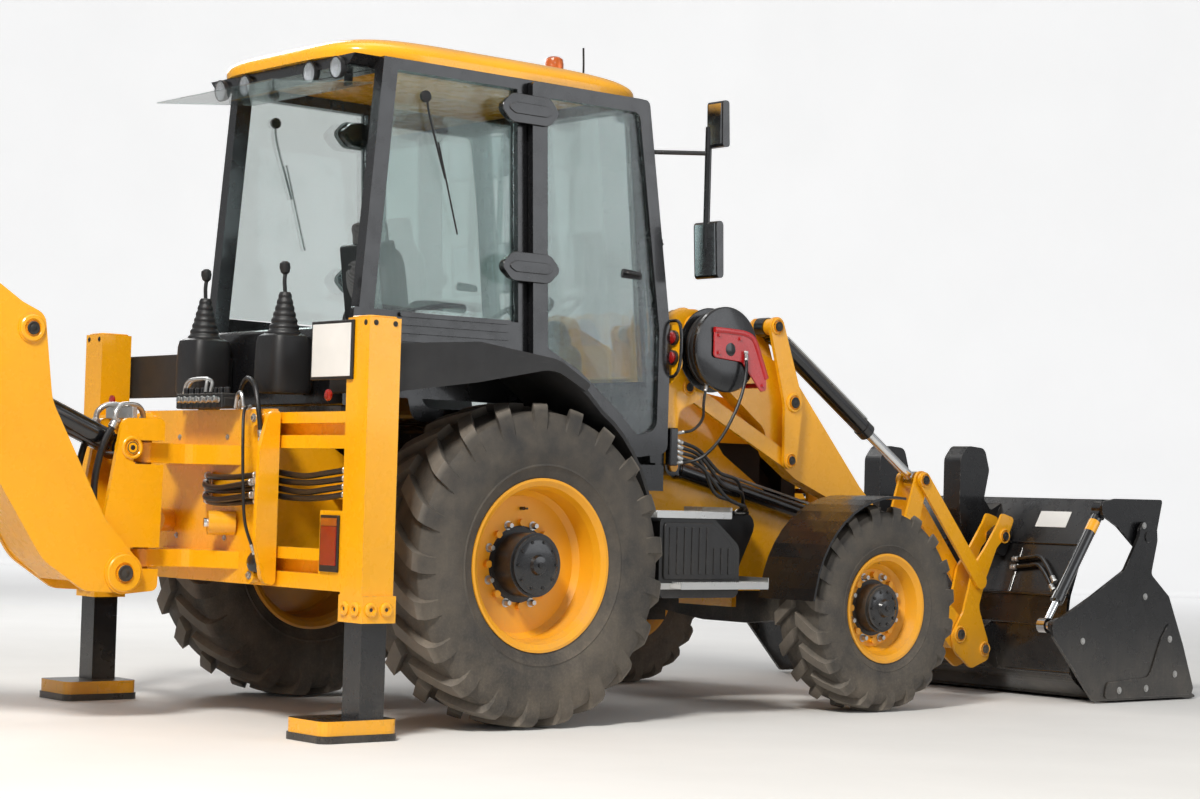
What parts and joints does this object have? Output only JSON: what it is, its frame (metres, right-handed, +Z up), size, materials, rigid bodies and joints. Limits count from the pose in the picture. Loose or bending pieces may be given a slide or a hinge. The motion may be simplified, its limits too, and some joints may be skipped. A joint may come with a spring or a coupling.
{
  "type": "backhoe loader",
  "caption": "Backhoe loader with a side-shift backhoe, vertical stabiliser legs, a glazed cab on a wheeled chassis and a clam front bucket on parallel-lift arms.",
  "frame": {"origin": "on the ground, below the middle of the machine's bounding box, rear axle at X -0.203 m", "axes": "+X forward along the machine, +Y to its left, +Z up"},
  "size_m": [8.7063, 2.4, 3.17],
  "materials": {
    "yellow_paint": "glossy, worn",
    "wheel_paint": "satin, dusty",
    "bucket_black": "satin, scuffed",
    "black_paint": "satin",
    "fender_grey": "matte, dusty",
    "dark_iron": "painted casting",
    "black_plastic": "grained",
    "window_glass": "clear, tinted",
    "lamp_plastic": "clear lenses",
    "tyre_rubber": "dusty",
    "ram_black": "satin",
    "rod_chrome": "polished"
  },
  "bodies": {
    "machine": {"chassis_frame": "yellow_paint", "loader_towers": "yellow_paint", "engine_block": "dark_iron", "rear_axle": "dark_iron", "front_axle": "dark_iron", "cab_frame": "black_paint", "cab_roof": "yellow_paint", "cab_glass": "window_glass", "seat": "black_plastic", "controls": "black_plastic", "rear_fenders": "fender_grey", "step_boxes": "black_paint", "hose_reel": "black_paint", "rear_frame": "yellow_paint", "lamps": "lamp_plastic", "exhaust": "dark_iron"},
    "door_r": {"door_right": "black_paint", "door_glass_right": "window_glass"},
    "door_l": {"door_left": "black_paint", "door_glass_left": "window_glass"},
    "bonnet_body": {"bonnet": "yellow_paint"},
    "knuckle_r": {"knuckle_right": "black_paint"},
    "knuckle_l": {"knuckle_left": "black_paint"},
    "wheel_rr": {"rear_tyre_right": "tyre_rubber", "rear_rim_right": "wheel_paint"},
    "wheel_rl": {"rear_tyre_left": "tyre_rubber", "rear_rim_left": "wheel_paint"},
    "wheel_fr": {"front_tyre_right": "tyre_rubber", "front_rim_right": "wheel_paint"},
    "wheel_fl": {"front_tyre_left": "tyre_rubber", "front_rim_left": "wheel_paint"},
    "arm": {"loader_arms": "yellow_paint"},
    "level_lever": {"level_levers": "yellow_paint"},
    "level_link": {"level_links": "yellow_paint"},
    "lift_barrel": {"lift_barrels": "ram_black"},
    "lift_rod": {"lift_rods": "rod_chrome"},
    "crowd_barrel": {"crowd_barrels": "ram_black"},
    "crowd_rod": {"crowd_rods": "rod_chrome"},
    "tip_lever": {"tip_levers": "yellow_paint"},
    "tip_link": {"tip_links": "yellow_paint"},
    "shovel": {"hitch": "yellow_paint", "bucket_back": "bucket_black"},
    "clam": {"bucket_clam": "bucket_black"},
    "clam_barrel": {"clam_barrels": "ram_black"},
    "clam_rod": {"clam_rods": "rod_chrome"},
    "stabiliser_r": {"leg_right": "black_paint"},
    "stabiliser_l": {"leg_left": "black_paint"},
    "shift_carriage": {"carriage": "yellow_paint"},
    "slew_post": {"kingpost": "yellow_paint"},
    "boom_body": {"boom": "yellow_paint"},
    "boom_ram": {"boom_barrel": "ram_black"},
    "boom_ram_rod": {"boom_rod": "rod_chrome"},
    "dipper_body": {"dipper": "yellow_paint"},
    "dipper_ram": {"dipper_barrel": "ram_black"},
    "dipper_ram_rod": {"dipper_rod": "rod_chrome"},
    "hoe_lever": {"bucket_lever": "yellow_paint"},
    "hoe_link": {"bucket_link": "yellow_paint"},
    "bucket_ram": {"bucket_barrel": "ram_black"},
    "bucket_ram_rod": {"bucket_rod": "rod_chrome"},
    "hoe": {"hoe_bucket": "yellow_paint"}
  },
  "joints": [
    {"name": "wheel_rear_r", "type": "hinge", "parent": "machine", "child": "wheel_rr", "pos_m": [-0.203, -0.88, 0.708], "axis": [0, 1, 0], "continuous": true},
    {"name": "wheel_rear_l", "type": "hinge", "parent": "machine", "child": "wheel_rl", "pos_m": [-0.203, 0.88, 0.708], "axis": [0, 1, 0], "continuous": true},
    {"name": "steer_r", "type": "hinge", "parent": "machine", "child": "knuckle_r", "pos_m": [1.967, -0.79, 0.506], "axis": [0, 0, 1], "range_deg": [-35, 35]},
    {"name": "steer_l", "type": "hinge", "parent": "machine", "child": "knuckle_l", "pos_m": [1.967, 0.79, 0.506], "axis": [0, 0, 1], "range_deg": [-35, 35]},
    {"name": "wheel_front_r", "type": "hinge", "parent": "knuckle_r", "child": "wheel_fr", "pos_m": [1.967, -0.935, 0.506], "axis": [0, 1, 0], "continuous": true},
    {"name": "wheel_front_l", "type": "hinge", "parent": "knuckle_l", "child": "wheel_fl", "pos_m": [1.967, 0.935, 0.506], "axis": [0, 1, 0], "continuous": true},
    {"name": "door_right_hinge", "type": "hinge", "parent": "machine", "child": "door_r", "pos_m": [0.022, -0.648, 1.64], "axis": [0.04, 0, -0.9992], "range_deg": [0, 60]},
    {"name": "door_left_hinge", "type": "hinge", "parent": "machine", "child": "door_l", "pos_m": [0.022, 0.648, 1.64], "axis": [-0.04, 0, 0.9992], "range_deg": [0, 60]},
    {"name": "bonnet_hinge", "type": "hinge", "parent": "machine", "child": "bonnet_body", "pos_m": [0.977, 0, 1.585], "axis": [0, -1, 0], "range_deg": [0, 50]},
    {"name": "loader_lift", "type": "hinge", "parent": "machine", "child": "arm", "pos_m": [1.057, 0, 1.84], "axis": [0, -1, 0], "range_deg": [-3, 77]},
    {"name": "level_lever_pivot", "type": "hinge", "parent": "arm", "child": "level_lever", "pos_m": [1.755, 0, 1.509], "axis": [0, -1, 0], "range_deg": [-77.05, 3.05]},
    {"name": "level_link_pivot", "type": "hinge", "parent": "machine", "child": "level_link", "pos_m": [1.044, 0, 1.551], "axis": [0, -1, 0], "range_deg": [-3.05, 77.05]},
    {"name": "lift_ram_pivot", "type": "hinge", "parent": "machine", "child": "lift_barrel", "pos_m": [1.097, 0, 1.17], "axis": [0, -1, 0], "range_deg": [-2.83, 71.35]},
    {"name": "lift_ram_stroke", "type": "slide", "parent": "lift_barrel", "child": "lift_rod", "axis": [0.976, 0, -0.2177], "range_m": [-0.03328, 0.84178]},
    {"name": "bucket_tip", "type": "hinge", "parent": "arm", "child": "shovel", "pos_m": [3.072, 0, 0.334], "axis": [0, 1, 0], "range_deg": [-45, 120]},
    {"name": "tip_lever_pivot", "type": "hinge", "parent": "arm", "child": "tip_lever", "pos_m": [2.617, 0, 0.74], "axis": [0, 1, 0], "range_deg": [-31.53, 83.99]},
    {"name": "tip_link_pivot", "type": "hinge", "parent": "tip_lever", "child": "tip_link", "pos_m": [2.745, 0, 1.148], "axis": [0, 1, 0], "range_deg": [-66.46, 24.95]},
    {"name": "crowd_ram_pivot", "type": "hinge", "parent": "level_lever", "child": "crowd_barrel", "pos_m": [1.629, 0, 1.882], "axis": [0, -1, 0], "range_deg": [-3.05, 77.05]},
    {"name": "crowd_ram_stroke", "type": "slide", "parent": "crowd_barrel", "child": "crowd_rod", "axis": [0.8355, 0, -0.5495], "range_m": [-0.21444, 0.57101]},
    {"name": "clam_pivot", "type": "hinge", "parent": "shovel", "child": "clam", "pos_m": [3.897, 0, 0.88], "axis": [0, -1, 0], "range_deg": [0, 65]},
    {"name": "clam_ram_pivot", "type": "hinge", "parent": "shovel", "child": "clam_barrel", "pos_m": [3.597, 0, 1.02], "axis": [0, -1, 0], "range_deg": [-0.05, 60.07]},
    {"name": "clam_ram_stroke", "type": "slide", "parent": "clam_barrel", "child": "clam_rod", "axis": [-0.585, 0, -0.811], "range_m": [-0.0005, 0.35457]},
    {"name": "stabiliser_r_leg", "type": "slide", "parent": "machine", "child": "stabiliser_r", "axis": [0, 0, 1], "range_m": [-0.15, 0.37]},
    {"name": "stabiliser_l_leg", "type": "slide", "parent": "machine", "child": "stabiliser_l", "axis": [0, 0, 1], "range_m": [-0.15, 0.37]},
    {"name": "side_shift", "type": "slide", "parent": "machine", "child": "shift_carriage", "axis": [0, 1, 0], "range_m": [-0.55, 0.55]},
    {"name": "slew", "type": "hinge", "parent": "shift_carriage", "child": "slew_post", "pos_m": [-1.563, 0, 0.635], "axis": [0, 0, -1], "range_deg": [-90, 90]},
    {"name": "boom_pivot", "type": "hinge", "parent": "slew_post", "child": "boom_body", "pos_m": [-1.727, 0, 0.635], "axis": [0, 1, 0], "range_deg": [-75, 28]},
    {"name": "boom_ram_pivot", "type": "hinge", "parent": "slew_post", "child": "boom_ram", "pos_m": [-1.687, 0, 1.165], "axis": [0, 1, 0], "range_deg": [-71.86, 26.86]},
    {"name": "boom_ram_stroke", "type": "slide", "parent": "boom_ram", "child": "boom_ram_rod", "axis": [-0.9203, 0, 0.3912], "range_m": [-0.24362, 0.65173]},
    {"name": "dipper_pivot", "type": "hinge", "parent": "boom_body", "child": "dipper_body", "pos_m": [-3.733, 0, 2.45], "axis": [0, -1, 0], "range_deg": [-90, 22]},
    {"name": "dipper_ram_pivot", "type": "hinge", "parent": "boom_body", "child": "dipper_ram", "pos_m": [-2.188, 0, 1.639], "axis": [0, -1, 0], "range_deg": [-4.28, 1.08]},
    {"name": "dipper_ram_stroke", "type": "slide", "parent": "dipper_ram", "child": "dipper_ram_rod", "axis": [-0.7875, 0, 0.6163], "range_m": [-0.6139, 0.15044]},
    {"name": "hoe_bucket_pivot", "type": "hinge", "parent": "dipper_body", "child": "hoe", "pos_m": [-3.943, 0, 0.93], "axis": [0, 1, 0], "range_deg": [-90, 80]},
    {"name": "hoe_lever_pivot", "type": "hinge", "parent": "dipper_body", "child": "hoe_lever", "pos_m": [-3.902, 0, 1.227], "axis": [0, 1, 0], "range_deg": [-67.99, 60.44]},
    {"name": "hoe_link_pivot", "type": "hinge", "parent": "hoe_lever", "child": "hoe_link", "pos_m": [-4.201, 0, 1.25], "axis": [0, 1, 0], "range_deg": [-53.31, 59.97]},
    {"name": "bucket_ram_pivot", "type": "hinge", "parent": "dipper_body", "child": "bucket_ram", "pos_m": [-3.939, 0, 2.196], "axis": [0, 1, 0], "range_deg": [-6.63, 5.9]},
    {"name": "bucket_ram_stroke", "type": "slide", "parent": "bucket_ram", "child": "bucket_ram_rod", "axis": [-0.2669, 0, -0.9637], "range_m": [-0.27612, 0.31058]}
  ],
  "couplings": [
    {"joint": "steer_l", "follows": "steer_r", "ratio": 1},
    {"joint": "level_lever_pivot", "follows": "loader_lift", "ratio": -1},
    {"joint": "level_link_pivot", "follows": "loader_lift", "ratio": 1},
    {"joint": "lift_ram_pivot", "follows": "loader_lift", "ratio": 0.926},
    {"joint": "lift_ram_stroke", "follows": "loader_lift", "m_per_rad": 0.626},
    {"joint": "tip_lever_pivot", "follows": "bucket_tip", "ratio": 0.6995},
    {"joint": "tip_link_pivot", "follows": "bucket_tip", "ratio": -0.5534},
    {"joint": "crowd_ram_pivot", "follows": "loader_lift", "ratio": 1},
    {"joint": "crowd_ram_stroke", "follows": "bucket_tip", "m_per_rad": 0.2724},
    {"joint": "clam_ram_pivot", "follows": "clam_pivot", "ratio": 0.9234},
    {"joint": "clam_ram_stroke", "follows": "clam_pivot", "m_per_rad": 0.3121},
    {"joint": "boom_ram_pivot", "follows": "boom_pivot", "ratio": 0.9574},
    {"joint": "boom_ram_stroke", "follows": "boom_pivot", "m_per_rad": -0.4975},
    {"joint": "dipper_ram_pivot", "follows": "dipper_pivot", "ratio": 0.047},
    {"joint": "dipper_ram_stroke", "follows": "dipper_pivot", "m_per_rad": 0.3905},
    {"joint": "hoe_lever_pivot", "follows": "hoe_bucket_pivot", "ratio": 0.7549},
    {"joint": "hoe_link_pivot", "follows": "hoe_bucket_pivot", "ratio": -0.6658},
    {"joint": "bucket_ram_pivot", "follows": "hoe_bucket_pivot", "ratio": 0.0731},
    {"joint": "bucket_ram_stroke", "follows": "hoe_bucket_pivot", "m_per_rad": -0.1974}
  ]
}
